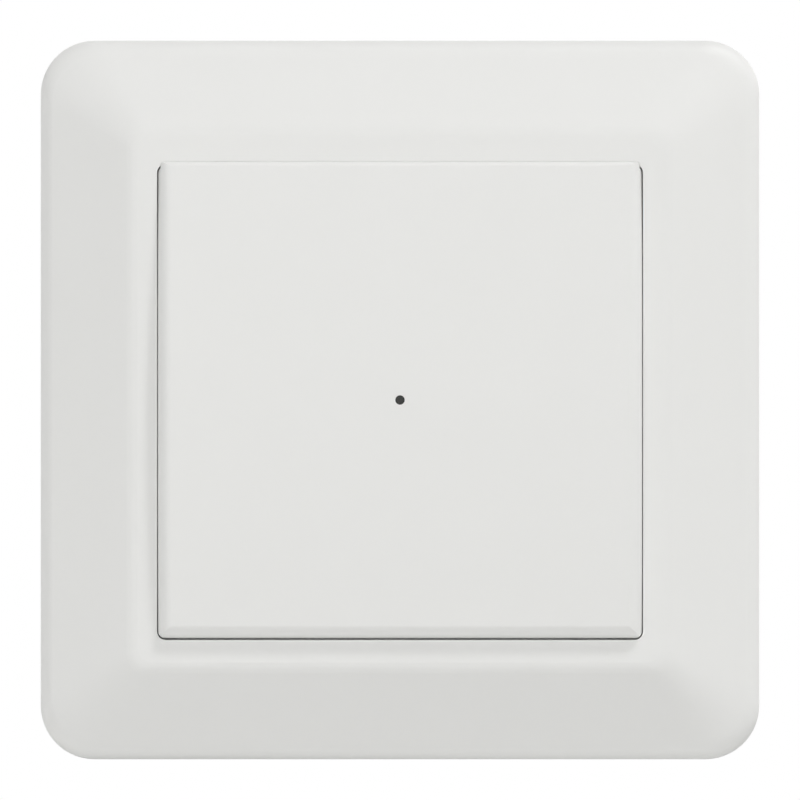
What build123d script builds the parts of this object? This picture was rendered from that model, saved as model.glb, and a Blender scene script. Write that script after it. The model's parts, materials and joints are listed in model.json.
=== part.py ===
from build123d import *

import os
from math import asin, atan, cos, degrees, pi, radians, sin, tan

# Pushbutton dimmer switch for a flush wall box, in millimetres.
# X runs to the right, Z runs up and the front faces -Y. The wall is the plane Y = 0.
# A height is a distance in front of the wall, so a negative height lies in the wall box.

# Wall box
box_screw_spacing = 60.0
screw_head_room = 3.6

# Cover frame
frame_size = 84.0
frame_corner = 6.3
frame_wall = 2.0
rim_height = 4.0
ring_height = 8.2
ring_width = 3.05
ring_corner = 2.0
rim_rounding = 2.2
rim_steps = 6
ridge_rounding = 3.5
ridge_steps = 3
collar_wall = 1.6
collar_notch = 3.2
stop_reach = 0.5
stop_thickness = 0.5
rib_wall = 1.0
rib_offset = 18.0

# Button cap
cap_width = 56.5
cap_height = 55.6
cap_proud = 1.8
cap_top_proud = 0.7
cap_corner = 0.9
cap_edge = 1.55
crown_z = -2.5
cap_plate = 1.8
skirt_wall = 1.2
skirt_lift = 1.6
side_gap = 0.1
bottom_gap = 0.2
top_gap = 0.25
lip_overlap = 0.3
lip_lift = 0.1
cap_rib_depth = 1.2
cap_rib_wall = 0.9
cap_rib_spacing = 10.0
cap_cross_rib_spacing = 34.0

# Hinge at the top of the button
pin_diameter = 2.4
pin_clearance = 0.05
pin_proud = 0.2
hinge_drop = 2.1
lug_radius = 2.0
lug_width = 2.0
lug_gap = 0.4
ear_width = 2.4
ear_half = 2.3
ear_clearance = 0.25
ear_top_gap = 0.6
ear_side_room = 1.85
snap_width = 2.1

# Snap hooks and catches
hook_spacing = 20.0
hook_width = 5.0
hook_wall = 1.4
hook_reach = 0.8
hook_tip = 1.0
hook_gap = 0.05
hook_side_gap = 0.3
hook_bend_room = 0.6
hook_wall_room = 1.1
catch_offset = 14.0
catch_length = 8.0
catch_reach = 0.7
catch_thickness = 0.8
catch_lift = 0.4
catch_gap = 0.1
barb_reach = 0.75

# Support plate
plate_thickness = 1.0
plate_margin = 2.3
plate_corner = 4.0
plate_lift = 0.2
slot_width = 3.8
slot_length = 6.4
level_slot_length = 10.0
wall_hole_inset = 3.5
wall_hole_diameter = 4.0

# Front housing
flange_thickness = 2.2
flange_gap = 1.1
flange_corner = 2.0
spigot_depth = 2.0
spigot_wall = 1.4
spigot_gap = 0.2
plate_gap = 0.4
standoff_radius = 1.5
standoff_x = 17.5
standoff_z = 12.0

# Rear housing
rear_size = 48.0
rear_cut = 6.0
rear_depth = 24.0
rear_wall = 1.6
rear_floor = 1.8
rear_corner = 1.2
rear_rounding = 0.8
boss_radius = 3.0
boss_inset = 3.8
ledge_depth = 1.6
ledge_length = 3.0
ledge_z = 8.0
partition_wall = 1.0

# Housing screws
screw_diameter = 2.2
screw_clearance = 0.35
pilot_clearance = 0.05
screw_head_diameter = 4.4
screw_head_height = 1.3
screw_head_sink = 1.4
screw_head_gap = 0.2
screw_entry = 3.6
pilot_extra = 0.6
drive_slot_width = 0.6
drive_slot_depth = 0.6

# Control board and what it carries
control_thickness = 1.0
control_drop = 1.4
control_gap = 0.8
control_hook_room = 1.5
boss_room = 0.6
tact_z = -8.0
tact_size = 6.0
tact_height = 3.5
tact_cover = 0.3
tact_hole_gap = 0.3
plunger_diameter = 3.5
plunger_clearance = 0.2
plunger_reach = 2.55
plunger_flange = 4.4
plunger_flange_height = 1.0
plunger_stem = 2.0
plunger_stem_height = 0.25
plunger_room = 0.55
flange_clearance = 0.1
shoulder_gap = 0.05
pusher_diameter = 4.0
pusher_gap = 0.06
led_width = 2.0
led_length = 1.25
led_height = 1.1
led_gap = 1.2
guide_diameter = 2.5
guide_fit = 0.05
guide_head = 1.0
guide_tip_diameter = 1.0
guide_tip_sink = 0.05
guide_socket_wall = 0.95
guide_socket_length = 2.4
guide_hole_gap = 0.55
shroud_wall = 0.8
shroud_gap = 0.1
chip_size = 7.0
chip_height = 1.2
chip_x = -9.0
chip_z = 14.2
regulator_width = 6.5
regulator_length = 3.5
regulator_height = 1.6
regulator_x = 9.0
regulator_z = -8.0
connector_width = 10.2
connector_length = 2.5
connector_x = 4.0
connector_z = 16.5

# Return springs
spring_spacing = 32.0
spring_z = -12.0
spring_diameter = 4.0
spring_wire = 0.4
wire_sides = 5
spring_turns = 5
spring_runs = 10
spring_seat_gap = 0.02
spring_side_gap = 0.3
cup_wall = 0.7
cup_height = 1.2
stud_height = 1.2
stud_gap = 0.2

# Power board and what it carries
power_thickness = 1.6
power_gap = 0.6
transistor_spacing = 14.0
transistor_z = 3.0
transistor_width = 6.6
transistor_length = 6.1
transistor_height = 2.3
tab_length = 1.2
tab_thickness = 0.5
lead_width = 0.9
lead_length = 2.6
lead_pitch = 4.6
pad_width = 24.0
pad_length = 8.0
pad_thickness = 0.5
spreader_width = 32.0
spreader_length = 13.0
spreader_thickness = 1.5
spreader_corner = 1.5
floor_room = 0.6
film_width = 13.0
film_length = 6.0
film_height = 11.0
film_x = -11.0
film_z = 7.5
film_rounding = 0.6
choke_diameter = 10.0
choke_spool = 5.0
choke_height = 10.0
choke_flange = 1.2
choke_winding_inset = 0.5
winding_gap = 0.05
choke_x = 8.5
choke_z = 8.0
reservoir_diameter = 8.0
reservoir_height = 10.2
reservoir_groove = 0.4
reservoir_x = -9.0
reservoir_z = -5.5
fuse_diameter = 8.4
fuse_height = 7.6
fuse_x = 4.5
fuse_z = -5.5
varistor_diameter = 9.0
varistor_thickness = 4.0
varistor_stand = 0.5
varistor_x = 15.5
varistor_z = -1.5

# Terminals
terminal_count = 4
clamp_gap = 0.3
clamp_side_wall = 0.7
clamp_wall = 1.1
clamp_length = 6.8
clamp_depth = 8.0
clamp_lift = 0.4
clamp_bottom_gap = 1.0
tail_width = 2.0
tail_thickness = 0.8
tail_gap = 0.2
tail_proud = 0.8
entry_margin = 0.1
terminal_screw_diameter = 2.6
terminal_screw_clearance = 0.05
terminal_head_diameter = 3.8
terminal_head_height = 1.6
terminal_head_gap = 0.2
terminal_head_sink = 0.2
terminal_screw_proud = 0.1

# Heights and places that follow from the sizes above
ring_size = cap_width + 2 * ring_width
ring_back = ring_height - frame_wall
slope_run = (frame_size - ring_size) / 2
frame_slope = (ring_height - rim_height) / slope_run
slope_angle = atan(frame_slope)
rim_start = rim_height - rim_rounding * tan(pi / 4 - slope_angle / 2)
ridge_end = slope_run + ridge_rounding * tan(slope_angle / 2)
cavity_size = frame_size - 2 * frame_wall
cavity_corner = frame_corner - frame_wall
cavity_rim = ring_back - frame_slope * (cavity_size - ring_size) / 2

opening_width = cap_width + 2 * side_gap
opening_top = cap_height / 2 - lip_overlap
opening_bottom = -cap_height / 2 - bottom_gap
opening_height = opening_top - opening_bottom
opening_middle = (opening_top + opening_bottom) / 2
opening_corner = cap_corner + side_gap
collar_foot = plate_thickness + plate_lift

flange_front = plate_thickness + flange_thickness
cap_face = ring_height + cap_proud
cap_top = ring_height + cap_top_proud
lip_underside = ring_height + lip_lift
lip_rounding = cap_top - lip_underside
crown_run = cap_height / 2 - crown_z
crown_rise = cap_face - cap_top
crown_radius = (crown_run**2 + crown_rise**2) / (2 * crown_rise)
crown_centre = cap_face - crown_radius
crown_sweep = asin((crown_run + cap_edge) / crown_radius)
crown_reach = cap_height / 2 + crown_z
cap_bottom = crown_centre + (crown_radius**2 - crown_reach**2) ** 0.5
plate_underside = cap_face - cap_plate
skirt_foot = flange_front + skirt_lift
skirt_top = opening_top - top_gap
skirt_height = skirt_top + cap_height / 2
skirt_middle = (skirt_top - cap_height / 2) / 2
skirt_side = cap_width / 2 - skirt_wall

hinge_z = skirt_top - skirt_wall - ear_clearance - ear_half
hinge_height = plate_underside - hinge_drop
ear_top = plate_underside - ear_top_gap
ear_outer = skirt_side - ear_side_room
ear_inner = ear_outer - ear_width
lug_outer = ear_inner - lug_gap
pin_end = ear_outer + pin_proud

rear_inner = rear_size - 2 * rear_wall
wall_cut_loss = 2 - 2**0.5
rear_inner_cut = rear_cut - rear_wall * wall_cut_loss
spigot_size = rear_inner - 2 * spigot_gap
spigot_cut = rear_inner_cut - spigot_gap * wall_cut_loss
spigot_inner = spigot_size - 2 * spigot_wall
spigot_inner_cut = spigot_cut - spigot_wall * wall_cut_loss
plate_size = box_screw_spacing + slot_length + 2 * plate_margin
wall_hole_spacing = plate_size - 2 * wall_hole_inset
plate_opening = spigot_size + 2 * plate_gap
plate_opening_cut = spigot_cut + plate_gap * wall_cut_loss
boss_x = rear_inner / 2 - boss_inset
floor_front = rear_floor - rear_depth

hook_outer = -spigot_inner / 2 + hook_wall_room + hook_reach
hook_inner = hook_outer + hook_wall
barb_top = plate_thickness - hook_gap

control_front = plate_thickness - control_drop
control_back = control_front - control_thickness
control_width = spigot_inner - 2 * control_gap
control_top = spigot_inner / 2 - control_gap
control_bottom = hook_inner + control_hook_room
tact_top = control_front + tact_height
plunger_shoulder = tact_top - shoulder_gap
plunger_foot = plunger_shoulder - plunger_flange_height
plunger_tip = tact_top + tact_cover + plunger_reach
pusher_foot = plunger_tip + pusher_gap
guide_foot = control_front + led_height + led_gap
guide_shoulder = cap_face - guide_head

power_back = floor_front + film_height + floor_room
power_front = power_back + power_thickness
power_size = rear_inner - 2 * power_gap
power_cut = power_size - 2 * boss_x + (boss_radius + boss_room) * 2**0.5
pad_seat = power_front + transistor_height
spreader_seat = pad_seat + pad_thickness

terminal_pitch = 2 * (boss_x - boss_radius) / terminal_count
terminal_xs = [terminal_pitch * (i - (terminal_count - 1) / 2) for i in range(terminal_count)]
clamp_width = terminal_pitch - partition_wall - 2 * clamp_gap
clamp_inner_width = clamp_width - 2 * clamp_side_wall
clamp_inner_length = clamp_length - 2 * clamp_wall
clamp_rear = floor_front + clamp_lift
clamp_front = clamp_rear + clamp_depth
clamp_bottom = -rear_inner / 2 + clamp_bottom_gap
clamp_z = clamp_bottom + clamp_length / 2
tail_z = clamp_bottom + clamp_length - clamp_wall / 2
bay_top = clamp_bottom + clamp_length + clamp_gap
terminal_screw_height = (clamp_rear + clamp_front) / 2


# A plane parallel to the wall, seen from the front
def wall_plane(height):
    return Plane.XZ.offset(height)


# A square with its corners cut off at 45 degrees
def cut_square(height, size, corner_cut):
    with BuildSketch(wall_plane(height)) as outline:
        Rectangle(size, size)
        chamfer(outline.vertices(), length=corner_cut)
    return outline.sketch


# A plain block on a board: its footprint stands at a height and it grows to the front, or back if negative
def board_block(centre, width, length, seat, height):
    with BuildPart() as block:
        with BuildSketch(wall_plane(seat)):
            with Locations(centre):
                Rectangle(width, length)
        extrude(amount=height)
    return block


# An outline of the cover frame, drawn in from its side, with corners that tighten evenly up to the ring
def frame_outline(inset, height):
    corner = frame_corner + (ring_corner - frame_corner) * inset / slope_run
    with BuildSketch(wall_plane(height)) as outline:
        RectangleRounded(frame_size - 2 * inset, frame_size - 2 * inset, corner)
    return outline.sketch


# Outlines round the rim, from its side to the slope, and over the ridge, from the slope to the flat ring
rim_outlines = []
for step in range(rim_steps + 1):
    turn = (pi / 2 - slope_angle) * step / rim_steps
    rim_outlines.append(frame_outline(rim_rounding * (1 - cos(turn)), rim_start + rim_rounding * sin(turn)))
ridge_outlines = []
for step in range(ridge_steps + 1):
    turn = slope_angle * (1 - step / ridge_steps)
    ridge_drop = ridge_rounding * (1 - cos(turn))
    ridge_outlines.append(frame_outline(ridge_end - ridge_rounding * sin(turn), ring_height - ridge_drop))


# Cover frame: rim on the wall, four slopes, a flat ring and a hollow back with collar, ribs and catches
with BuildPart() as cover_frame:
    extrude(frame_outline(0, 0), amount=rim_start)
    loft(rim_outlines)
    loft([rim_outlines[-1], ridge_outlines[0]], ruled=True)
    loft(ridge_outlines)

    with BuildSketch(wall_plane(0)):
        RectangleRounded(cavity_size, cavity_size, cavity_corner)
    extrude(amount=cavity_rim, mode=Mode.SUBTRACT)
    with BuildSketch(wall_plane(cavity_rim)):
        RectangleRounded(cavity_size, cavity_size, cavity_corner)
    with BuildSketch(wall_plane(ring_back)):
        RectangleRounded(ring_size, ring_size, cavity_corner)
    loft(ruled=True, mode=Mode.SUBTRACT)

    # Ribs between rim and collar, two on each side
    rib_root = opening_width / 2 + collar_wall / 4
    rib_tip = cavity_size / 2 + frame_wall / 2
    rib_ridge = ring_back + frame_wall / 2
    for quarter in range(4):
        turn = radians(90 * quarter)
        outward = (cos(turn), 0, sin(turn))
        across = (sin(turn), 0, -cos(turn))
        for offset in (-rib_offset, rib_offset):
            with BuildSketch(Plane((0, 0, 0), x_dir=outward, z_dir=across).offset(offset)):
                with BuildLine():
                    Polyline(
                        (rib_root, collar_foot),
                        (rib_tip, collar_foot),
                        (rib_tip, rib_ridge - frame_slope * (rib_tip - ring_size / 2)),
                        (ring_size / 2, rib_ridge),
                        (rib_root, rib_ridge),
                        close=True,
                    )
                make_face()
            extrude(amount=rib_wall / 2, both=True)

    # Collar round the button, notched over the box screws
    with BuildSketch(wall_plane(collar_foot)):
        with Locations((0, opening_middle)):
            collar_width = opening_width + 2 * collar_wall
            collar_height = opening_height + 2 * collar_wall
            RectangleRounded(collar_width, collar_height, opening_corner + collar_wall)
    extrude(amount=ring_back - collar_foot)
    with BuildSketch(wall_plane(0)):
        with PolarLocations(box_screw_spacing / 2, 4):
            Rectangle(2 * screw_head_room, 2 * screw_head_room)
    extrude(amount=collar_notch, mode=Mode.SUBTRACT)
    with BuildSketch(wall_plane(0)):
        with Locations((0, opening_middle)):
            RectangleRounded(opening_width, opening_height, opening_corner)
    extrude(amount=ring_height, mode=Mode.SUBTRACT)

    # Stop lip above the notches, which keeps light out of the gap round the button
    with BuildSketch(wall_plane(collar_notch)):
        with Locations((0, opening_middle)):
            RectangleRounded(collar_width, collar_height, opening_corner + collar_wall)
            Rectangle(opening_width - 2 * stop_reach, opening_height - 2 * stop_reach, mode=Mode.SUBTRACT)
    extrude(amount=stop_thickness)

    # Catches that snap behind the barbs of the front housing
    catch_root = collar_wall / 2
    with BuildSketch(wall_plane(collar_foot + catch_lift)):
        with GridLocations(opening_width + catch_root - catch_reach, 2 * catch_offset, 2, 2):
            Rectangle(catch_root + catch_reach, catch_length)
    extrude(amount=catch_thickness)


# Button cap: crowned face with a rolled edge, skirt, hinge trunnions, pusher, spring studs and snap hooks
with BuildPart() as button_cap:
    with BuildSketch(wall_plane(skirt_foot)):
        with Locations((0, skirt_middle)):
            RectangleRounded(cap_width, skirt_height, cap_corner)
    extrude(amount=lip_underside - skirt_foot)
    with BuildSketch(wall_plane(lip_underside)):
        RectangleRounded(cap_width, cap_height, cap_corner)
    extrude(amount=cap_face - lip_underside)

    # The face is an arc from top to bottom, rolled over at both ends and along the sides
    with BuildSketch(Plane.YZ) as crown_profile:
        with BuildLine():
            ThreePointArc((-cap_bottom, -cap_height / 2), (-cap_face, crown_z), (-cap_top, cap_height / 2))
            Polyline(
                (-cap_top, cap_height / 2),
                (-skirt_foot, cap_height / 2),
                (-skirt_foot, -cap_height / 2),
                (-cap_bottom, -cap_height / 2),
            )
        make_face()
        fillet(crown_profile.vertices().group_by(Axis.Y)[0].sort_by(Axis.X)[0], radius=cap_edge)
        fillet(crown_profile.vertices().group_by(Axis.Y)[-1].sort_by(Axis.X)[0], radius=lip_rounding)
    extrude(amount=cap_width, both=True, mode=Mode.INTERSECT)
    crown_point = (0, -crown_centre, crown_z)
    crown_start = Plane(crown_point, x_dir=(1, 0, 0), z_dir=(0, -sin(crown_sweep), -cos(crown_sweep)))
    with BuildSketch(crown_start) as crown_section:
        with Locations((0, crown_radius - cap_face / 2)):
            Rectangle(cap_width, cap_face)
        fillet(crown_section.vertices().group_by(Axis.Y)[-1], radius=cap_edge)
    revolve(axis=Axis(crown_point, (1, 0, 0)), revolution_arc=degrees(2 * crown_sweep), mode=Mode.INTERSECT)

    with BuildSketch(wall_plane(skirt_foot)):
        with Locations((0, skirt_middle)):
            Rectangle(2 * skirt_side, skirt_height - 2 * skirt_wall)
    extrude(amount=plate_underside - skirt_foot, mode=Mode.SUBTRACT)

    # Ribs under the face
    with BuildSketch(wall_plane(plate_underside - cap_rib_depth)):
        with Locations((0, skirt_middle)):
            with GridLocations(cap_rib_spacing, 0, 2, 1):
                Rectangle(cap_rib_wall, skirt_height - skirt_wall)
            with GridLocations(0, cap_cross_rib_spacing, 1, 2):
                Rectangle(2 * skirt_side + skirt_wall, cap_rib_wall)
    extrude(amount=cap_rib_depth)

    # Hinge lugs and trunnions
    for side in (-1, 1):
        with BuildSketch(Plane.YZ.offset(side * lug_outer)):
            with Locations((-hinge_height, hinge_z)):
                Circle(lug_radius)
            with Locations((-(hinge_height + plate_underside) / 2, hinge_z)):
                Rectangle(plate_underside - hinge_height, 2 * lug_radius)
        extrude(amount=-side * lug_width)
        with BuildSketch(Plane.YZ.offset(side * lug_outer)):
            with Locations((-hinge_height, hinge_z)):
                Circle(pin_diameter / 2)
        extrude(amount=side * (pin_end - lug_outer))

    # Pusher over the switch, spring studs and the light guide's socket
    with BuildSketch(wall_plane(pusher_foot)):
        with Locations((0, tact_z)):
            Circle(pusher_diameter / 2)
    extrude(amount=plate_underside - pusher_foot)
    with BuildSketch(wall_plane(plate_underside - stud_height)):
        with Locations((0, spring_z)):
            with GridLocations(spring_spacing, 0, 2, 1):
                Circle(spring_diameter / 2 - spring_wire - stud_gap)
    extrude(amount=stud_height)
    with BuildSketch(wall_plane(plate_underside - guide_socket_length)):
        Circle(guide_diameter / 2 + guide_fit + guide_socket_wall)
    extrude(amount=guide_socket_length)
    with BuildSketch(wall_plane(plate_underside - guide_socket_length)):
        Circle(guide_diameter / 2 + guide_fit)
    extrude(amount=guide_shoulder - plate_underside + guide_socket_length, mode=Mode.SUBTRACT)
    with BuildSketch(wall_plane(guide_shoulder)):
        Circle(guide_tip_diameter / 2 + guide_fit)
    extrude(amount=guide_head, mode=Mode.SUBTRACT)

    # Snap hooks that stop the cap at the deck
    for side in (-1, 1):
        hook_x = side * hook_spacing / 2
        with BuildSketch(wall_plane(barb_top - hook_tip)):
            with Locations((hook_x, (hook_outer + hook_inner) / 2)):
                Rectangle(hook_width, hook_wall)
        extrude(amount=plate_underside - barb_top + hook_tip)
        with BuildSketch(Plane.YZ.offset(hook_x)):
            with BuildLine():
                Polyline(
                    (-barb_top, hook_outer),
                    (-barb_top, hook_outer - hook_reach),
                    (hook_tip - barb_top, hook_outer),
                    close=True,
                )
            make_face()
        extrude(amount=hook_width / 2, both=True)


# Light guide: rod with a thin tip that shows in the face
with BuildPart() as light_guide:
    with BuildSketch(wall_plane(guide_foot)):
        Circle(guide_diameter / 2)
    extrude(amount=guide_shoulder - guide_foot)
    with BuildSketch(wall_plane(guide_shoulder)):
        Circle(guide_tip_diameter / 2)
    extrude(amount=guide_head - guide_tip_sink)


# Front housing: flange and deck, spigot through the plate, hinge ears, spring cups and barbs
spigot_outline = cut_square(-spigot_depth, spigot_size, spigot_cut)
spigot_hollow = cut_square(-spigot_depth, spigot_inner, spigot_inner_cut)
with BuildPart() as front_housing:
    # The hollow of the spigot leaves a screw boss standing in each corner
    extrude(spigot_outline, amount=plate_thickness + spigot_depth)
    with BuildSketch(wall_plane(-spigot_depth)):
        add(spigot_hollow)
        with GridLocations(2 * boss_x, 2 * boss_x, 2, 2):
            Circle(boss_radius, mode=Mode.SUBTRACT)
    extrude(amount=plate_thickness + spigot_depth, mode=Mode.SUBTRACT)
    with BuildSketch(wall_plane(plate_thickness)):
        with Locations((0, opening_middle)):
            RectangleRounded(opening_width - 2 * flange_gap, opening_height - 2 * flange_gap, flange_corner)
    extrude(amount=flange_thickness)
    with BuildSketch(wall_plane(plate_thickness)):
        with PolarLocations(box_screw_spacing / 2, 4):
            Circle(screw_head_room)
    extrude(amount=flange_thickness, mode=Mode.SUBTRACT)

    # Blind pilot holes for the housing screws
    with BuildSketch(wall_plane(-spigot_depth)):
        with GridLocations(2 * boss_x, 2 * boss_x, 2, 2):
            Circle(screw_diameter / 2 + pilot_clearance)
    extrude(amount=screw_entry + pilot_extra, mode=Mode.SUBTRACT)

    # Standoffs and the light shroud behind the deck
    with BuildSketch(wall_plane(control_front)):
        with GridLocations(2 * standoff_x, 2 * standoff_z, 2, 2):
            Circle(standoff_radius)
    extrude(amount=control_drop)
    guide_hole = guide_diameter / 2 + guide_hole_gap
    with BuildSketch(wall_plane(control_front + shroud_gap)):
        Circle(guide_hole + shroud_wall)
    extrude(amount=control_drop - shroud_gap)
    with BuildSketch(wall_plane(control_front)):
        Circle(guide_hole)
    extrude(amount=control_drop + flange_thickness, mode=Mode.SUBTRACT)

    # Holes in the deck for the switch and the snap hooks
    window_low = hook_outer - hook_side_gap
    window_high = hook_inner + hook_bend_room
    with BuildSketch(wall_plane(plate_thickness)):
        with Locations((0, tact_z)):
            Rectangle(tact_size + 2 * tact_hole_gap, tact_size + 2 * tact_hole_gap)
        with Locations((0, (window_low + window_high) / 2)):
            with GridLocations(hook_spacing, 0, 2, 1):
                Rectangle(hook_width + 2 * hook_side_gap, window_high - window_low)
    extrude(amount=flange_thickness, mode=Mode.SUBTRACT)

    # Spring cups on the deck
    cup_inner = spring_diameter / 2 + spring_side_gap
    with BuildSketch(wall_plane(flange_front)):
        with Locations((0, spring_z)):
            with GridLocations(spring_spacing, 0, 2, 1):
                Circle(cup_inner + cup_wall)
                Circle(cup_inner, mode=Mode.SUBTRACT)
    extrude(amount=cup_height)

    # Hinge ears, each with a socket that the trunnion snaps into from the front
    for side in (-1, 1):
        with BuildSketch(Plane.YZ.offset(side * ear_inner)):
            with Locations((-(ear_top + flange_front) / 2, hinge_z)):
                Rectangle(ear_top - flange_front, 2 * ear_half)
            with Locations((-hinge_height, hinge_z)):
                Circle(pin_diameter / 2 + pin_clearance, mode=Mode.SUBTRACT)
            with Locations((-(ear_top + hinge_height) / 2, hinge_z)):
                Rectangle(ear_top - hinge_height, snap_width, mode=Mode.SUBTRACT)
        extrude(amount=side * ear_width)

    # Barbs that hold the cover frame by its catches
    barb_root = opening_width / 2 - flange_gap
    barb_foot = collar_foot + catch_lift + catch_thickness + catch_gap
    for side in (-1, 1):
        for barb_z in (-catch_offset, catch_offset):
            with BuildSketch(Plane.XY.offset(barb_z)):
                with BuildLine():
                    Polyline(
                        (side * barb_root, -barb_foot),
                        (side * (barb_root + barb_reach), -barb_foot),
                        (side * barb_root, -flange_front),
                        close=True,
                    )
                make_face()
            extrude(amount=catch_length / 2, both=True)


# Support plate: stamped steel with box-screw slots on the box's spacing and a screw hole in each corner
with BuildPart() as support_plate:
    with BuildSketch(wall_plane(0)) as plate_outline:
        RectangleRounded(plate_size, plate_size, plate_corner)
        with GridLocations(box_screw_spacing, 0, 2, 1):
            SlotOverall(slot_length, slot_width, mode=Mode.SUBTRACT)
        with GridLocations(0, box_screw_spacing, 1, 2):
            SlotOverall(level_slot_length, slot_width, mode=Mode.SUBTRACT)
        with GridLocations(wall_hole_spacing, wall_hole_spacing, 2, 2):
            Circle(wall_hole_diameter / 2, mode=Mode.SUBTRACT)
    extrude(amount=plate_thickness)
    extrude(cut_square(0, plate_opening, plate_opening_cut), amount=plate_thickness, mode=Mode.SUBTRACT)


# Rear housing: moulded box with bosses, board ledges, terminal bays, wire entries and screw access
rear_outline = cut_square(-rear_depth, rear_size, rear_cut)
rear_hollow = cut_square(floor_front, rear_inner, rear_inner_cut)
with BuildPart() as rear_housing:
    extrude(rear_outline, amount=rear_depth)
    fillet(rear_housing.edges().filter_by(Axis.Y), radius=rear_corner)
    fillet(rear_housing.faces().sort_by(Axis.Y)[-1].edges(), radius=rear_rounding)
    extrude(rear_hollow, amount=-floor_front, mode=Mode.SUBTRACT)
    with BuildSketch(wall_plane(floor_front)):
        with GridLocations(2 * boss_x, 2 * boss_x, 2, 2):
            Circle(boss_radius)
    extrude(amount=-spigot_depth - floor_front)
    with BuildSketch(wall_plane(floor_front)):
        with GridLocations(rear_inner - ledge_depth, 2 * ledge_z, 2, 2):
            Rectangle(ledge_depth, ledge_length)
    extrude(amount=power_back - floor_front)

    # Bays that keep the terminals apart
    bay_length = bay_top + rear_inner / 2
    with BuildSketch(wall_plane(floor_front)):
        with Locations((0, bay_top - bay_length / 2)):
            with GridLocations(terminal_pitch, 0, terminal_count - 1, 1):
                Rectangle(partition_wall, bay_length)
        with Locations((0, bay_top + partition_wall / 2)):
            Rectangle(terminal_count * terminal_pitch, partition_wall)
    extrude(amount=clamp_front - floor_front)

    # Wire entries in the rear face and screw access from below
    with BuildSketch(wall_plane(-rear_depth)):
        with Locations((0, clamp_z)):
            with GridLocations(terminal_pitch, 0, terminal_count, 1):
                Rectangle(clamp_inner_width + 2 * entry_margin, clamp_inner_length + 2 * entry_margin)
    extrude(amount=rear_floor, mode=Mode.SUBTRACT)
    with BuildSketch(Plane.XY.offset(-rear_size / 2)):
        with Locations((0, -terminal_screw_height)):
            with GridLocations(terminal_pitch, 0, terminal_count, 1):
                Circle(terminal_head_diameter / 2 + terminal_head_gap)
    extrude(amount=rear_wall, mode=Mode.SUBTRACT)

    # Screw holes through the bosses, sunk for the heads
    with BuildSketch(wall_plane(-rear_depth)):
        with GridLocations(2 * boss_x, 2 * boss_x, 2, 2):
            Circle(screw_diameter / 2 + screw_clearance)
    extrude(amount=rear_depth - spigot_depth, mode=Mode.SUBTRACT)
    with BuildSketch(wall_plane(-rear_depth)):
        with GridLocations(2 * boss_x, 2 * boss_x, 2, 2):
            Circle(screw_head_diameter / 2 + screw_head_gap)
    extrude(amount=screw_head_sink, mode=Mode.SUBTRACT)


# Housing screws: four slotted screws from the rear into the front housing
screw_seat = screw_head_sink - rear_depth
with BuildPart() as housing_screws:
    with BuildSketch(wall_plane(screw_seat)):
        with GridLocations(2 * boss_x, 2 * boss_x, 2, 2):
            Circle(screw_diameter / 2)
    extrude(amount=screw_entry - spigot_depth - screw_seat)
    with BuildSketch(wall_plane(screw_seat)):
        with GridLocations(2 * boss_x, 2 * boss_x, 2, 2):
            Circle(screw_head_diameter / 2)
    extrude(amount=-screw_head_height)
    with BuildSketch(wall_plane(screw_seat - screw_head_height)):
        with GridLocations(2 * boss_x, 2 * boss_x, 2, 2):
            Rectangle(drive_slot_width, screw_head_diameter)
    extrude(amount=drive_slot_depth, mode=Mode.SUBTRACT)


# Return springs between the cups of the deck and the studs of the cap, bent from short straight runs
def return_spring(side):
    coil_radius = (spring_diameter - spring_wire) / 2
    coil_foot = flange_front + spring_wire / 2 + spring_seat_gap
    coil_length = plate_underside - flange_front - spring_wire - 2 * spring_seat_gap
    run_count = spring_turns * spring_runs
    coil_points = []
    for run in range(run_count + 1):
        turn = 2 * pi * run / spring_runs
        point_x = side * spring_spacing / 2 + coil_radius * cos(turn)
        point_z = spring_z + coil_radius * sin(turn)
        coil_points.append((point_x, -coil_foot - coil_length * run / run_count, point_z))
    with BuildPart() as spring:
        with BuildLine() as coil:
            Polyline(*coil_points)
        with BuildSketch(Plane(coil.line @ 0, z_dir=coil.line % 0)):
            RegularPolygon(spring_wire / 2, wire_sides)
        sweep(transition=Transition.RIGHT)
    return spring


return_spring_left = return_spring(-1)
return_spring_right = return_spring(1)


# Control board, cut round the bosses
with BuildPart() as control_board:
    with BuildSketch(wall_plane(control_back)):
        with Locations((0, (control_top + control_bottom) / 2)):
            Rectangle(control_width, control_top - control_bottom)
        with GridLocations(2 * boss_x, 2 * boss_x, 2, 2):
            Circle(boss_radius + boss_room, mode=Mode.SUBTRACT)
    extrude(amount=control_thickness)


# Switch on the control board: body with a well, steel cover and plunger
with BuildPart() as tact_switch_body:
    with BuildSketch(wall_plane(control_front)):
        with Locations((0, tact_z)):
            Rectangle(tact_size, tact_size)
    extrude(amount=tact_height)
    well_depth = shoulder_gap + plunger_flange_height + plunger_stem_height + plunger_room
    with BuildSketch(wall_plane(tact_top)):
        with Locations((0, tact_z)):
            Circle(plunger_flange / 2 + flange_clearance)
    extrude(amount=-well_depth, mode=Mode.SUBTRACT)

with BuildPart() as tact_switch_cover:
    with BuildSketch(wall_plane(tact_top)):
        with Locations((0, tact_z)):
            Rectangle(tact_size, tact_size)
            Circle(plunger_diameter / 2 + plunger_clearance, mode=Mode.SUBTRACT)
    extrude(amount=tact_cover)

with BuildPart() as tact_plunger:
    with BuildSketch(wall_plane(plunger_foot)):
        with Locations((0, tact_z)):
            Circle(plunger_flange / 2)
    extrude(amount=plunger_flange_height)
    with BuildSketch(wall_plane(plunger_shoulder)):
        with Locations((0, tact_z)):
            Circle(plunger_diameter / 2)
    extrude(amount=plunger_tip - plunger_shoulder)
    with BuildSketch(wall_plane(plunger_foot)):
        with Locations((0, tact_z)):
            Circle(plunger_stem / 2)
    extrude(amount=-plunger_stem_height)


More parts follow.
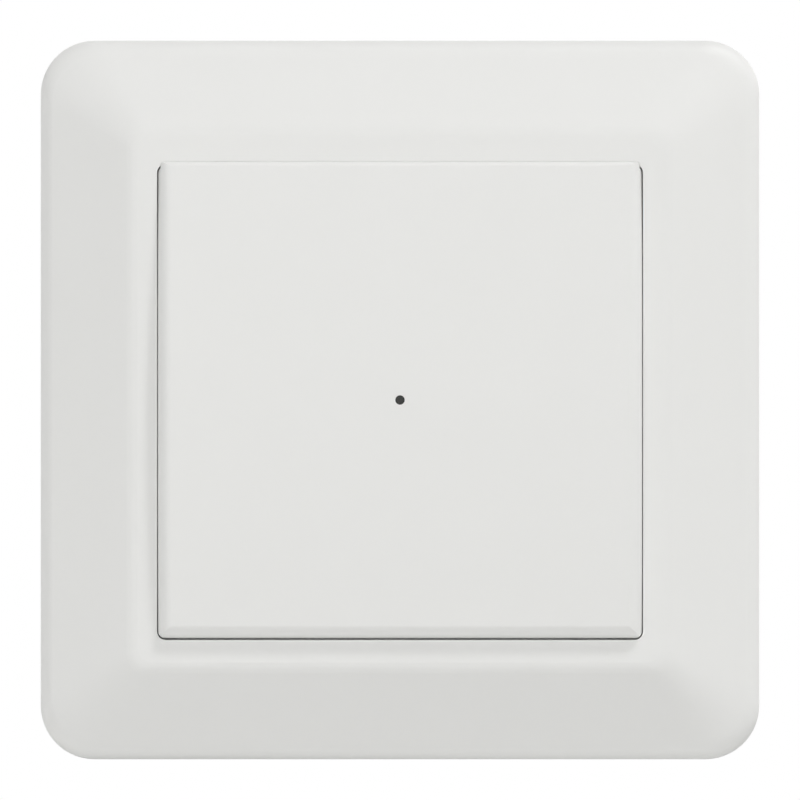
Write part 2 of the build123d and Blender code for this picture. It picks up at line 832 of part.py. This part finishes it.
# Parts of the control board
status_led = board_block((0, 0), led_width, led_length, control_front, led_height)
microcontroller = board_block((chip_x, chip_z), chip_size, chip_size, control_back, -chip_height)
voltage_regulator = board_block(
    (regulator_x, regulator_z), regulator_width, regulator_length, control_back, -regulator_height
)
board_connector = board_block(
    (connector_x, connector_z), connector_width, connector_length, power_front, control_back - power_front
)


# Power board with slots for the terminal tails
power_outline = cut_square(power_back, power_size, power_cut)
with BuildPart() as power_board:
    extrude(power_outline, amount=power_thickness)
    with BuildSketch(wall_plane(power_back)):
        with Locations((0, tail_z)):
            with GridLocations(terminal_pitch, 0, terminal_count, 1):
                Rectangle(tail_width + 2 * tail_gap, tail_thickness + 2 * tail_gap)
    extrude(amount=power_thickness, mode=Mode.SUBTRACT)


# Power transistors: moulded body, cooling tab and two leads
def power_transistor(side):
    centre_x = side * transistor_spacing / 2
    body_bottom = transistor_z - transistor_length / 2
    body_top = transistor_z + transistor_length / 2
    with BuildPart() as transistor:
        with BuildSketch(wall_plane(power_front)):
            with Locations((centre_x, transistor_z)):
                Rectangle(transistor_width, transistor_length)
        extrude(amount=transistor_height)
        with BuildSketch(wall_plane(power_front)):
            with Locations((centre_x, body_top + tab_length / 2)):
                Rectangle(transistor_width - 2 * lead_width, tab_length)
            with Locations((centre_x, body_bottom - lead_length / 2)):
                with GridLocations(lead_pitch, 0, 2, 1):
                    Rectangle(lead_width, lead_length)
        extrude(amount=tab_thickness)
    return transistor


transistor_left = power_transistor(-1)
transistor_right = power_transistor(1)
thermal_pad = board_block((0, transistor_z), pad_width, pad_length, pad_seat, pad_thickness)
with BuildPart() as heat_spreader:
    with BuildSketch(wall_plane(spreader_seat)):
        with Locations((0, transistor_z)):
            RectangleRounded(spreader_width, spreader_length, spreader_corner)
    extrude(amount=spreader_thickness)


# Tall parts hang from the back of the power board
with BuildPart() as film_capacitor:
    with BuildSketch(wall_plane(power_back)):
        with Locations((film_x, film_z)):
            RectangleRounded(film_width, film_length, film_rounding)
    extrude(amount=-film_height)

with BuildPart() as choke_core:
    for flange_seat in (power_back, power_back - choke_height + choke_flange):
        with BuildSketch(wall_plane(flange_seat)):
            with Locations((choke_x, choke_z)):
                Circle(choke_diameter / 2)
        extrude(amount=-choke_flange)
    with BuildSketch(wall_plane(power_back)):
        with Locations((choke_x, choke_z)):
            Circle(choke_spool / 2)
    extrude(amount=-choke_height)

with BuildPart() as choke_winding:
    with BuildSketch(wall_plane(power_back - choke_flange - winding_gap)):
        with Locations((choke_x, choke_z)):
            Circle(choke_diameter / 2 - choke_winding_inset)
            Circle(choke_spool / 2 + winding_gap, mode=Mode.SUBTRACT)
    extrude(amount=-(choke_height - 2 * choke_flange - 2 * winding_gap))

with BuildPart() as reservoir_capacitor:
    with BuildSketch(Plane((reservoir_x, -power_back, reservoir_z), x_dir=(1, 0, 0), z_dir=(0, 0, 1))):
        with BuildLine():
            can = reservoir_diameter / 2
            neck = can - reservoir_groove
            Polyline(
                (0, 0),
                (can, 0),
                (can, 2 * reservoir_groove),
                (neck, 3 * reservoir_groove),
                (can, 4 * reservoir_groove),
                (can, reservoir_height),
                (0, reservoir_height),
                close=True,
            )
        make_face()
    revolve(axis=Axis((reservoir_x, 0, reservoir_z), (0, 1, 0)))

with BuildPart() as fuse:
    with BuildSketch(wall_plane(power_back)):
        with Locations((fuse_x, fuse_z)):
            Circle(fuse_diameter / 2)
    extrude(amount=-fuse_height)

varistor_height = power_back - varistor_stand - varistor_diameter / 2
with BuildPart() as varistor:
    with BuildSketch(Plane.YZ.offset(varistor_x)):
        with Locations((-varistor_height, varistor_z)):
            Circle(varistor_diameter / 2)
    extrude(amount=varistor_thickness / 2, both=True)
    with BuildSketch(wall_plane(power_back)):
        with Locations((varistor_x, varistor_z)):
            with GridLocations(0, varistor_diameter / 2, 1, 2):
                Circle(lead_width / 2)
    extrude(amount=-varistor_stand - varistor_diameter / 4)


# Terminals: a cage with a solder tail for each wire
def terminal_clamp(centre_x):
    with BuildPart() as clamp:
        with BuildSketch(wall_plane(clamp_rear)):
            with Locations((centre_x, clamp_z)):
                Rectangle(clamp_width, clamp_length)
                Rectangle(clamp_inner_width, clamp_inner_length, mode=Mode.SUBTRACT)
        extrude(amount=clamp_depth)
        with BuildSketch(wall_plane(clamp_front)):
            with Locations((centre_x, tail_z)):
                Rectangle(tail_width, tail_thickness)
        extrude(amount=power_front + tail_proud - clamp_front)
        with BuildSketch(Plane.XY.offset(clamp_bottom)):
            with Locations((centre_x, -terminal_screw_height)):
                Circle(terminal_screw_diameter / 2 + terminal_screw_clearance)
        extrude(amount=clamp_wall, mode=Mode.SUBTRACT)
    return clamp


terminal_clamps = [terminal_clamp(centre_x) for centre_x in terminal_xs]

# Terminal screws: four slotted screws, wound right out
terminal_head_low = -rear_size / 2 + terminal_head_sink
terminal_head_high = terminal_head_low + terminal_head_height
terminal_screw_tip = clamp_bottom + clamp_wall + terminal_screw_proud
with BuildPart() as terminal_screws:
    with BuildSketch(Plane.XY.offset(terminal_head_low)):
        with Locations((0, -terminal_screw_height)):
            with GridLocations(terminal_pitch, 0, terminal_count, 1):
                Circle(terminal_head_diameter / 2)
    extrude(amount=terminal_head_height)
    with BuildSketch(Plane.XY.offset(terminal_head_high)):
        with Locations((0, -terminal_screw_height)):
            with GridLocations(terminal_pitch, 0, terminal_count, 1):
                Circle(terminal_screw_diameter / 2)
    extrude(amount=terminal_screw_tip - terminal_head_high)
    with BuildSketch(Plane.XY.offset(terminal_head_low)):
        with Locations((0, -terminal_screw_height)):
            with GridLocations(terminal_pitch, 0, terminal_count, 1):
                Rectangle(drive_slot_width, terminal_head_diameter)
    extrude(amount=drive_slot_depth, mode=Mode.SUBTRACT)


pieces = {
    "cover_frame": cover_frame,
    "button_cap": button_cap,
    "light_guide": light_guide,
    "front_housing": front_housing,
    "support_plate": support_plate,
    "rear_housing": rear_housing,
    "housing_screws": housing_screws,
    "return_spring_left": return_spring_left,
    "return_spring_right": return_spring_right,
    "control_board": control_board,
    "tact_switch_body": tact_switch_body,
    "tact_switch_cover": tact_switch_cover,
    "tact_plunger": tact_plunger,
    "status_led": status_led,
    "microcontroller": microcontroller,
    "voltage_regulator": voltage_regulator,
    "board_connector": board_connector,
    "power_board": power_board,
    "transistor_left": transistor_left,
    "transistor_right": transistor_right,
    "thermal_pad": thermal_pad,
    "heat_spreader": heat_spreader,
    "film_capacitor": film_capacitor,
    "choke_core": choke_core,
    "choke_winding": choke_winding,
    "reservoir_capacitor": reservoir_capacitor,
    "fuse": fuse,
    "varistor": varistor,
    "terminal_screws": terminal_screws,
}
for number, clamp in enumerate(terminal_clamps, start=1):
    pieces[f"terminal_clamp_{number}"] = clamp

os.makedirs("parts", exist_ok=True)
for name, piece in pieces.items():
    piece.part.label = name
    export_step(piece.part, f"parts/{name}.step")
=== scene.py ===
import json
import math

import bpy
import numpy as np
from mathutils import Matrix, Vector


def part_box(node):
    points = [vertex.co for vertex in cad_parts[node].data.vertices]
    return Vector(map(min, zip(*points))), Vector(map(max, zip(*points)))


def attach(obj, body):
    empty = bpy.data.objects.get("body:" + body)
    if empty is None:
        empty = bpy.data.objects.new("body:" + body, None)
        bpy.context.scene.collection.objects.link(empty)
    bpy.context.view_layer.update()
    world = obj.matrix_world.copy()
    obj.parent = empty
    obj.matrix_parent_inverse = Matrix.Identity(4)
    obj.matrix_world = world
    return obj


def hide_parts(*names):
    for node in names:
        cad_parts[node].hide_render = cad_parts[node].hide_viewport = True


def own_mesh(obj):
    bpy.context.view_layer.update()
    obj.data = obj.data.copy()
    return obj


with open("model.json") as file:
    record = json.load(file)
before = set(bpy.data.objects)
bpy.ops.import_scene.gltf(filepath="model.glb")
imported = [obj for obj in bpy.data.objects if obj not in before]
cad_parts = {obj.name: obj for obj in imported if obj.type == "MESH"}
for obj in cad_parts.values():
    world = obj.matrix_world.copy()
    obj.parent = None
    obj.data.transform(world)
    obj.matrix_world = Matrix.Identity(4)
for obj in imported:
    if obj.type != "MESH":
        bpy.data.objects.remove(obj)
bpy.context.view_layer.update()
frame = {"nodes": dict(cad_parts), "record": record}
record = frame["record"]
print("frame loaded:", len(frame["nodes"]), "nodes")

mm = 0.001
noiseSpan = (0.3, 0.7)  # nearly all values of a noise field lie between these


# Materials, all read from Object coordinates in metres

def newFinish(name, colour, roughness, metallic=0.0, specular=0.5):
    material = bpy.data.materials.new(name)
    material.use_nodes = True
    tree = material.node_tree
    shader = tree.nodes["Principled BSDF"]
    shader.inputs["Base Color"].default_value = (*colour, 1)
    shader.inputs["Roughness"].default_value = roughness
    shader.inputs["Metallic"].default_value = metallic
    shader.inputs["Specular IOR Level"].default_value = specular
    return material, tree, shader


def objectPlace(tree, stretch=(1, 1, 1)):
    coords = tree.nodes.new("ShaderNodeTexCoord")
    mapping = tree.nodes.new("ShaderNodeMapping")
    mapping.inputs["Scale"].default_value = stretch
    tree.links.new(coords.outputs["Object"], mapping.inputs["Vector"])
    return mapping.outputs["Vector"]


def noiseField(tree, place, size, detail=2.0):
    noise = tree.nodes.new("ShaderNodeTexNoise")
    noise.inputs["Scale"].default_value = 1 / size
    noise.inputs["Detail"].default_value = detail
    tree.links.new(place, noise.inputs["Vector"])
    return noise.outputs["Fac"]


def spread(tree, field, low, high):
    remap = tree.nodes.new("ShaderNodeMapRange")
    remap.inputs["From Min"].default_value = noiseSpan[0]
    remap.inputs["From Max"].default_value = noiseSpan[1]
    remap.inputs["To Min"].default_value = low
    remap.inputs["To Max"].default_value = high
    tree.links.new(field, remap.inputs["Value"])
    return remap.outputs["Result"]


def twoTone(tree, field, dark, light):
    ramp = tree.nodes.new("ShaderNodeValToRGB")
    for stop, position, colour in zip(ramp.color_ramp.elements, noiseSpan, (dark, light)):
        stop.position = position
        stop.color = (*colour, 1)
    tree.links.new(field, ramp.inputs["Fac"])
    return ramp.outputs["Color"]


def bumpFrom(tree, shader, field, depth):
    bump = tree.nodes.new("ShaderNodeBump")
    bump.inputs["Strength"].default_value = 1
    bump.inputs["Distance"].default_value = depth
    tree.links.new(field, bump.inputs["Height"])
    tree.links.new(bump.outputs["Normal"], shader.inputs["Normal"])


def unevenGloss(tree, shader, field, look):
    low, high = look["roughness"] - look["roughSpread"], look["roughness"] + look["roughSpread"]
    tree.links.new(spread(tree, field, low, high), shader.inputs["Roughness"])


def scaled(colour, factor):
    return tuple(c * factor for c in colour)


# Moulded plastic: spark-eroded grain in the gloss and the surface, with a faint drift of colour
def mouldedPlastic(name, look):
    material, tree, shader = newFinish(name, look["colour"], look["roughness"], specular=look["specular"])
    place = objectPlace(tree)
    grain = noiseField(tree, place, look["grain"], detail=3.0)
    drift = noiseField(tree, place, look["driftSize"])
    dark = scaled(look["colour"], 1 - look["drift"])
    light = scaled(look["colour"], 1 + look["drift"])
    tree.links.new(twoTone(tree, drift, dark, light), shader.inputs["Base Color"])
    unevenGloss(tree, shader, grain, look)
    bumpFrom(tree, shader, grain, look["grainDepth"])
    return material


# Plated or bare metal: fine drawn lines along one axis over a slow cloud
def workedMetal(name, look):
    material, tree, shader = newFinish(name, look["colour"], look["roughness"], metallic=1.0)
    lines = noiseField(tree, objectPlace(tree, look["stretch"]), look["lineSize"], detail=4.0)
    cloud = noiseField(tree, objectPlace(tree), look["cloudSize"], detail=3.0)
    tree.links.new(twoTone(tree, cloud, look["shade"], look["colour"]), shader.inputs["Base Color"])
    unevenGloss(tree, shader, lines, look)
    bumpFrom(tree, shader, lines, look["lineDepth"])
    return material


coverLook = {
    "colour": (0.79, 0.79, 0.775),
    "roughness": 0.5,
    "roughSpread": 0.04,
    "specular": 0.4,
    "grain": 0.16 * mm,
    "grainDepth": 0.0012 * mm,
    "drift": 0.0025,
    "driftSize": 9 * mm,
}
carrierLook = {
    "colour": (0.57, 0.57, 0.555),
    "roughness": 0.5,
    "roughSpread": 0.06,
    "specular": 0.45,
    "grain": 0.2 * mm,
    "grainDepth": 0.004 * mm,
    "drift": 0.015,
    "driftSize": 7 * mm,
}
rearLook = {
    "colour": (0.028, 0.029, 0.032),
    "roughness": 0.48,
    "roughSpread": 0.08,
    "specular": 0.5,
    "grain": 0.25 * mm,
    "grainDepth": 0.008 * mm,
    "drift": 0.1,
    "driftSize": 6 * mm,
}
packageLook = {
    "colour": (0.012, 0.012, 0.013),
    "roughness": 0.55,
    "roughSpread": 0.08,
    "specular": 0.45,
    "grain": 0.1 * mm,
    "grainDepth": 0.004 * mm,
    "drift": 0.12,
    "driftSize": 3 * mm,
}
padLook = {
    "colour": (0.21, 0.25, 0.29),
    "roughness": 0.75,
    "roughSpread": 0.08,
    "specular": 0.3,
    "grain": 0.3 * mm,
    "grainDepth": 0.02 * mm,
    "drift": 0.08,
    "driftSize": 2 * mm,
}
filmLook = {
    "colour": (0.70, 0.40, 0.012),
    "roughness": 0.38,
    "roughSpread": 0.06,
    "specular": 0.5,
    "grain": 0.2 * mm,
    "grainDepth": 0.005 * mm,
    "drift": 0.04,
    "driftSize": 4 * mm,
}
ferriteLook = {
    "colour": (0.022, 0.021, 0.021),
    "roughness": 0.6,
    "roughSpread": 0.12,
    "specular": 0.5,
    "grain": 0.12 * mm,
    "grainDepth": 0.008 * mm,
    "drift": 0.2,
    "driftSize": 1.5 * mm,
}
sleeveLook = {
    "colour": (0.008, 0.010, 0.024),
    "roughness": 0.28,
    "roughSpread": 0.05,
    "specular": 0.5,
    "grain": 0.6 * mm,
    "grainDepth": 0.006 * mm,
    "drift": 0.08,
    "driftSize": 4 * mm,
}
fuseLook = {
    "colour": (0.065, 0.016, 0.006),
    "roughness": 0.32,
    "roughSpread": 0.06,
    "specular": 0.5,
    "grain": 0.3 * mm,
    "grainDepth": 0.005 * mm,
    "drift": 0.06,
    "driftSize": 4 * mm,
}
varistorLook = {
    "colour": (0.006, 0.035, 0.21),
    "roughness": 0.3,
    "roughSpread": 0.08,
    "specular": 0.5,
    "grain": 0.8 * mm,
    "grainDepth": 0.03 * mm,
    "drift": 0.1,
    "driftSize": 3 * mm,
}
plateLook = {
    "colour": (0.62, 0.63, 0.64),
    "shade": (0.56, 0.575, 0.595),
    "roughness": 0.36,
    "roughSpread": 0.07,
    "stretch": (1, 1, 0.04),
    "lineSize": 0.12 * mm,
    "lineDepth": 0.002 * mm,
    "cloudSize": 3.5 * mm,
}
screwLook = {
    "colour": (0.60, 0.60, 0.57),
    "shade": (0.50, 0.50, 0.48),
    "roughness": 0.3,
    "roughSpread": 0.08,
    "stretch": (1, 0.2, 1),
    "lineSize": 0.15 * mm,
    "lineDepth": 0.003 * mm,
    "cloudSize": 1.5 * mm,
}
springLook = {
    "colour": (0.50, 0.50, 0.51),
    "shade": (0.38, 0.38, 0.40),
    "roughness": 0.28,
    "roughSpread": 0.06,
    "stretch": (1, 1, 1),
    "lineSize": 0.08 * mm,
    "lineDepth": 0.001 * mm,
    "cloudSize": 1.2 * mm,
}
spreaderLook = {
    "colour": (0.70, 0.71, 0.72),
    "shade": (0.60, 0.61, 0.63),
    "roughness": 0.34,
    "roughSpread": 0.08,
    "stretch": (0.05, 1, 1),
    "lineSize": 0.1 * mm,
    "lineDepth": 0.002 * mm,
    "cloudSize": 5 * mm,
}
copperLook = {
    "colour": (0.60, 0.20, 0.07),
    "shade": (0.42, 0.12, 0.035),
    "roughness": 0.26,
    "roughSpread": 0.05,
    "stretch": (1, 1, 1),
    "lineSize": 0.3 * mm,
    "lineDepth": 0.002 * mm,
    "cloudSize": 1.5 * mm,
}
brassLook = {
    "colour": (0.64, 0.44, 0.16),
    "shade": (0.50, 0.32, 0.10),
    "roughness": 0.32,
    "roughSpread": 0.08,
    "stretch": (1, 0.1, 1),
    "lineSize": 0.1 * mm,
    "lineDepth": 0.002 * mm,
    "cloudSize": 2 * mm,
}


# Rod and lens with a ground face: satin or glossy, with a little haze in the colour
def hazyMoulding(name, look):
    material, tree, shader = newFinish(name, look["colour"], look["roughness"], specular=look["specular"])
    haze = noiseField(tree, objectPlace(tree), look["hazeSize"])
    tree.links.new(twoTone(tree, haze, look["shade"], look["tint"]), shader.inputs["Base Color"])
    unevenGloss(tree, shader, haze, look)
    return material


rodLook = {
    "colour": (0.022, 0.022, 0.021),
    "shade": (0.017, 0.017, 0.016),
    "tint": (0.028, 0.028, 0.026),
    "roughness": 0.5,
    "roughSpread": 0.06,
    "specular": 0.25,
    "hazeSize": 0.3 * mm,
}
lensLook = {
    "colour": (0.78, 0.74, 0.52),
    "shade": (0.70, 0.65, 0.42),
    "tint": (0.82, 0.78, 0.58),
    "roughness": 0.2,
    "roughSpread": 0.05,
    "specular": 0.5,
    "hazeSize": 0.5 * mm,
}
boardLook = {
    "mask": (0.006, 0.075, 0.022),
    "maskShade": (0.005, 0.062, 0.018),
    "maskTint": (0.007, 0.085, 0.026),
    "track": (0.012, 0.13, 0.045),
    "trackPitch": 4.2 * mm,
    "trackShare": 0.06,
    "trackHeight": 0.03 * mm,
    "roughness": 0.35,
    "roughSpread": 0.07,
    "weave": 0.4 * mm,
}


# Glass laminate under green solder mask, with copper tracks that stand up a little under the mask
def boardLaminate(name, look):
    material, tree, shader = newFinish(name, look["mask"], look["roughness"])
    place = objectPlace(tree)
    turned = tree.nodes.new("ShaderNodeMapping")  # the tracks run in the board's plane
    turned.inputs["Rotation"].default_value = (math.pi / 2, 0, 0)
    tree.links.new(place, turned.inputs["Vector"])
    tracks = tree.nodes.new("ShaderNodeTexBrick")
    tracks.inputs["Scale"].default_value = 1 / look["trackPitch"]
    tracks.inputs["Mortar Size"].default_value = look["trackShare"]
    for socket, colour in (("Color1", "maskShade"), ("Color2", "maskTint"), ("Mortar", "track")):
        tracks.inputs[socket].default_value = (*look[colour], 1)
    tree.links.new(turned.outputs["Vector"], tracks.inputs["Vector"])
    tree.links.new(tracks.outputs["Color"], shader.inputs["Base Color"])
    unevenGloss(tree, shader, noiseField(tree, place, look["weave"]), look)
    bumpFrom(tree, shader, tracks.outputs["Fac"], look["trackHeight"])
    return material


finishes = {
    "cover_plastic": mouldedPlastic("coverPlastic", coverLook),
    "smoked_guide": hazyMoulding("smokedGuide", rodLook),
    "carrier_plastic": mouldedPlastic("carrierPlastic", carrierLook),
    "dark_plastic": mouldedPlastic("rearPlastic", rearLook),
    "zinc_plated_steel": workedMetal("zincPlate", plateLook),
    "screw_steel": workedMetal("screwSteel", screwLook),
    "spring_steel": workedMetal("springSteel", springLook),
    "board_laminate": boardLaminate("boardLaminate", boardLook),
    "black_moulding": mouldedPlastic("blackPackage", packageLook),
    "lamp_lens": hazyMoulding("lampLens", lensLook),
    "soft_pad": mouldedPlastic("thermalPad", padLook),
    "spreader_aluminium": workedMetal("spreaderSheet", spreaderLook),
    "capacitor_case": mouldedPlastic("capacitorCase", filmLook),
    "ferrite": mouldedPlastic("ferriteCore", ferriteLook),
    "copper_wire": workedMetal("copperWire", copperLook),
    "can_sleeve": mouldedPlastic("canSleeve", sleeveLook),
    "fuse_case": mouldedPlastic("fuseCase", fuseLook),
    "varistor_coat": mouldedPlastic("varistorCoat", varistorLook),
    "terminal_brass": workedMetal("terminalBrass", brassLook),
}
for part in record["subparts"]:
    frame["nodes"][part["node"]].material_slots[0].material = finishes[part["material_slot"]]
print("finishes assigned:", len(finishes))


# Meshes from arrays

# Quads of a grid of rows by columns, wrapped round where a direction is closed
def gridFaces(rows, columns, closeRows=False, closeColumns=False):
    rowIndex = np.arange(rows if closeRows else rows - 1)
    columnIndex = np.arange(columns if closeColumns else columns - 1)
    row, column = np.meshgrid(rowIndex, columnIndex, indexing="ij")
    nextRow = (row + 1) % rows
    nextColumn = (column + 1) % columns
    corners = [row * columns + column, nextRow * columns + column,
               nextRow * columns + nextColumn, row * columns + nextColumn]
    return np.stack(corners, axis=-1).reshape(-1, 4)


def makePiece(name, points, faces, material, body):
    mesh = bpy.data.meshes.new(name)
    mesh.from_pydata(points.reshape(-1, 3).tolist(), [], faces)
    mesh.polygons.foreach_set("use_smooth", np.ones(len(mesh.polygons), bool))
    mesh.materials.append(material)
    mesh.update()
    piece = bpy.data.objects.new(name, mesh)
    bpy.context.scene.collection.objects.link(piece)
    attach(piece, body)
    return piece


springForm = {"turns": 5, "closedTurns": 0.8, "stepsPerTurn": 40, "wireSides": 14, "wire": 0.4 * mm}


# Round wire on a helix: the angle grows evenly, and the rise is slow in the closed end turns and even between them.
# A circle of the wire's radius is carried square to the path.
def springPoints(low, high):
    wireRadius = springForm["wire"] / 2
    centre = (low + high) / 2
    coilRadius = (high[0] - low[0]) / 2 - wireRadius
    share = np.linspace(0, 1, springForm["turns"] * springForm["stepsPerTurn"] + 1)
    angle = 2 * np.pi * springForm["turns"] * share
    closed = springForm["closedTurns"] / springForm["turns"]
    foot, head = high[1] - wireRadius, low[1] + wireRadius
    closedRise = springForm["wire"] * springForm["closedTurns"] / abs(head - foot)
    rise = np.interp(share, [0, closed, 1 - closed, 1], [0, closedRise, 1 - closedRise, 1])
    path = np.stack([centre[0] + coilRadius * np.cos(angle), foot + (head - foot) * rise,
                     centre[2] + coilRadius * np.sin(angle)], axis=-1)
    along = np.gradient(path, axis=0)
    along /= np.linalg.norm(along, axis=1, keepdims=True)
    outward = np.stack([np.cos(angle), np.zeros_like(angle), np.sin(angle)], axis=-1)
    across = np.cross(outward, along)
    ring = 2 * np.pi * np.arange(springForm["wireSides"]) / springForm["wireSides"]
    section = outward[:, None] * np.cos(ring)[None, :, None] + across[:, None] * np.sin(ring)[None, :, None]
    return path[:, None] + wireRadius * section


for springNode in ("return_spring_left", "return_spring_right"):
    springLow, springHigh = (np.array(corner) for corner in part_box(springNode))
    wireGrid = springPoints(springLow, springHigh)
    rows, columns = wireGrid.shape[:2]
    wireFaces = gridFaces(rows, columns, closeColumns=True).tolist()
    wireFaces.append(list(range(columns)))
    wireFaces.append(list(range(rows * columns - 1, (rows - 1) * columns - 1, -1)))
    coil = makePiece(springNode + "_coil", wireGrid, wireFaces, finishes["spring_steel"], "base")
    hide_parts(springNode)
    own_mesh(coil)
print("springs wound")

windingForm = {"node": "choke_winding", "turns": 15, "bore": 5.1 * mm, "stepsPerTurn": 6, "sides": 64}


# Turns of wire laid side by side: the outline has a half circle for each turn, a flat end, the bore and the other
# flat end. It is carried round the choke's axis.
def windingPoints(low, high):
    wireRadius = (high[1] - low[1]) / windingForm["turns"] / 2
    centre = (low + high) / 2
    outside = (high[0] - low[0]) / 2
    sweep = np.pi * np.arange(windingForm["stepsPerTurn"]) / windingForm["stepsPerTurn"]
    turnMiddle = low[1] + wireRadius * (2 * np.arange(windingForm["turns"]) + 1)
    height = (turnMiddle[:, None] - wireRadius * np.cos(sweep)).ravel()
    radius = np.tile(outside - wireRadius + wireRadius * np.sin(sweep), windingForm["turns"])
    height = np.concatenate([height, [high[1], high[1], low[1]]])
    radius = np.concatenate([radius, [outside - wireRadius, windingForm["bore"] / 2, windingForm["bore"] / 2]])
    around = 2 * np.pi * np.arange(windingForm["sides"]) / windingForm["sides"]
    return np.stack([centre[0] + radius[:, None] * np.cos(around),
                     np.repeat(height[:, None], windingForm["sides"], axis=1),
                     centre[2] + radius[:, None] * np.sin(around)], axis=-1)


windingLow, windingHigh = (np.array(corner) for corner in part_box(windingForm["node"]))
windingGrid = windingPoints(windingLow, windingHigh)
windingFaces = gridFaces(*windingGrid.shape[:2], closeRows=True, closeColumns=True).tolist()
turnsPiece = makePiece("choke_winding_turns", windingGrid, windingFaces, finishes["copper_wire"],
                       "base")
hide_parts(windingForm["node"])
print("choke wound")


# Stage: floor, light and camera

# A math node whose inputs are sockets or numbers
def mathNode(tree, operation, *values):
    node = tree.nodes.new("ShaderNodeMath")
    node.operation = operation
    for socket, value in zip(node.inputs, values):
        if isinstance(value, bpy.types.NodeSocket):
            tree.links.new(value, socket)
        else:
            socket.default_value = value
    return node.outputs[0]


# 1 for a ray that meets the background straight from the camera, in a reflection or through glass, and 0 for the rest
def lookingRay(tree):
    rays = tree.nodes.new("ShaderNodeLightPath").outputs
    seen = mathNode(tree, "MAXIMUM", rays["Is Camera Ray"], rays["Is Glossy Ray"])
    return mathNode(tree, "MAXIMUM", seen, rays["Is Transmission Ray"])


# The floor is shown paler than it is for the light that it throws back up
floorForm = {
    "height": -0.10,
    "radius": 1.6,
    "sides": 128,
    "shown": (0.93, 0.93, 0.92),
    "thrown": (0.72, 0.72, 0.71),
    "roughness": 0.8,
    "specular": 0.2,
}
floorAngle = 2 * np.pi * np.arange(floorForm["sides"]) / floorForm["sides"]
floorRim = np.stack([floorForm["radius"] * np.cos(floorAngle), floorForm["radius"] * np.sin(floorAngle),
                     np.full_like(floorAngle, floorForm["height"])], axis=-1)
floorMesh = bpy.data.meshes.new("floor")
floorMesh.from_pydata(floorRim.tolist(), [], [list(range(floorForm["sides"]))])
floorPaint, floorTree, floorShader = newFinish("floorPaint", floorForm["thrown"], floorForm["roughness"],
                                               specular=floorForm["specular"])
floorColour = floorTree.nodes.new("ShaderNodeMix")
floorColour.data_type = "RGBA"
floorColour.inputs["A"].default_value = (*floorForm["thrown"], 1)
floorColour.inputs["B"].default_value = (*floorForm["shown"], 1)
floorTree.links.new(lookingRay(floorTree), floorColour.inputs["Factor"])
floorTree.links.new(floorColour.outputs["Result"], floorShader.inputs["Base Color"])
floorMesh.materials.append(floorPaint)
floor = bpy.data.objects.new("floor", floorMesh)
bpy.context.scene.collection.objects.link(floor)

# Sky: a few wide lobes, each as the squared cosine of the angle to its direction
skyLobes = {
    "behindRight": {"towards": (0.8, 0.6, 0.0), "strength": 1.20},
    "behindLeft": {"towards": (-0.8, 0.6, 0.0), "strength": 1.56},
    "right": {"towards": (1.0, 0.0, 0.0), "strength": 0.66},
}
world = bpy.data.worlds.new("studio")
bpy.context.scene.world = world
world.use_nodes = True
worldTree = world.node_tree
worldTree.nodes.clear()
skyPlace = worldTree.nodes.new("ShaderNodeTexCoord").outputs["Generated"]
skyTotal = 0
for lobe in skyLobes.values():
    facing = worldTree.nodes.new("ShaderNodeVectorMath")
    facing.operation = "DOT_PRODUCT"
    facing.inputs[1].default_value = np.array(lobe["towards"]) / np.linalg.norm(lobe["towards"])
    worldTree.links.new(skyPlace, facing.inputs[0])
    squared = mathNode(worldTree, "POWER", mathNode(worldTree, "MAXIMUM", facing.outputs["Value"], 0), 2)
    skyTotal = mathNode(worldTree, "MULTIPLY_ADD", squared, lobe["strength"], skyTotal)
sky = worldTree.nodes.new("ShaderNodeBackground")
sky.inputs["Color"].default_value = (1, 1, 1, 1)
worldTree.links.new(skyTotal, sky.inputs["Strength"])
backdrop = worldTree.nodes.new("ShaderNodeBackground")
backdrop.inputs["Color"].default_value = (1, 1, 1, 1)
backdrop.inputs["Strength"].default_value = 1
chosen = worldTree.nodes.new("ShaderNodeMixShader")
worldTree.links.new(lookingRay(worldTree), chosen.inputs["Fac"])
worldTree.links.new(sky.outputs[0], chosen.inputs[1])
worldTree.links.new(backdrop.outputs[0], chosen.inputs[2])
worldOut = worldTree.nodes.new("ShaderNodeOutputWorld")
worldTree.links.new(chosen.outputs[0], worldOut.inputs["Surface"])

softboxes = {
    "key": {"place": (0.358, -0.287, 0.774), "size": 0.12, "power": 4.05},
    "front": {"place": (0.0, -1.4, 0.0), "size": 0.3, "power": 4.43},
    "side": {"place": (-1.0, -0.7, 0.1), "size": 0.6, "power": 1.35},
    "low": {"place": (-0.5, -1.0, -0.05), "size": 0.4, "power": 3.58},
}
for boxName, box in softboxes.items():
    lamp = bpy.data.lights.new(boxName, "AREA")
    lamp.shape = "SQUARE"
    lamp.size = box["size"]
    lamp.energy = box["power"]
    lampObject = bpy.data.objects.new(boxName, lamp)
    bpy.context.scene.collection.objects.link(lampObject)
    lampObject.location = box["place"]
    lampObject.rotation_euler = (-lampObject.location).to_track_quat("-Z", "Y").to_euler()
    lampObject.visible_camera = False

# The camera looks straight at the front from so far that the photograph's width is the span
viewForm = {"lens": 1200.0, "sensor": 36.0, "span": 93.6 * mm, "near": 0.1, "far": 20.0}
cameraData = bpy.data.cameras.new("frontCamera")
cameraData.lens = viewForm["lens"]
cameraData.sensor_width = viewForm["sensor"]
cameraData.clip_start = viewForm["near"]
cameraData.clip_end = viewForm["far"]
camera = bpy.data.objects.new("frontCamera", cameraData)
bpy.context.scene.collection.objects.link(camera)
distance = viewForm["span"] * viewForm["lens"] / viewForm["sensor"]
camera.location = (0, -distance, 0)
camera.rotation_euler = (math.pi / 2, 0, 0)
bpy.context.scene.camera = camera
bpy.context.scene.view_settings.view_transform = "Standard"
print("stage set")
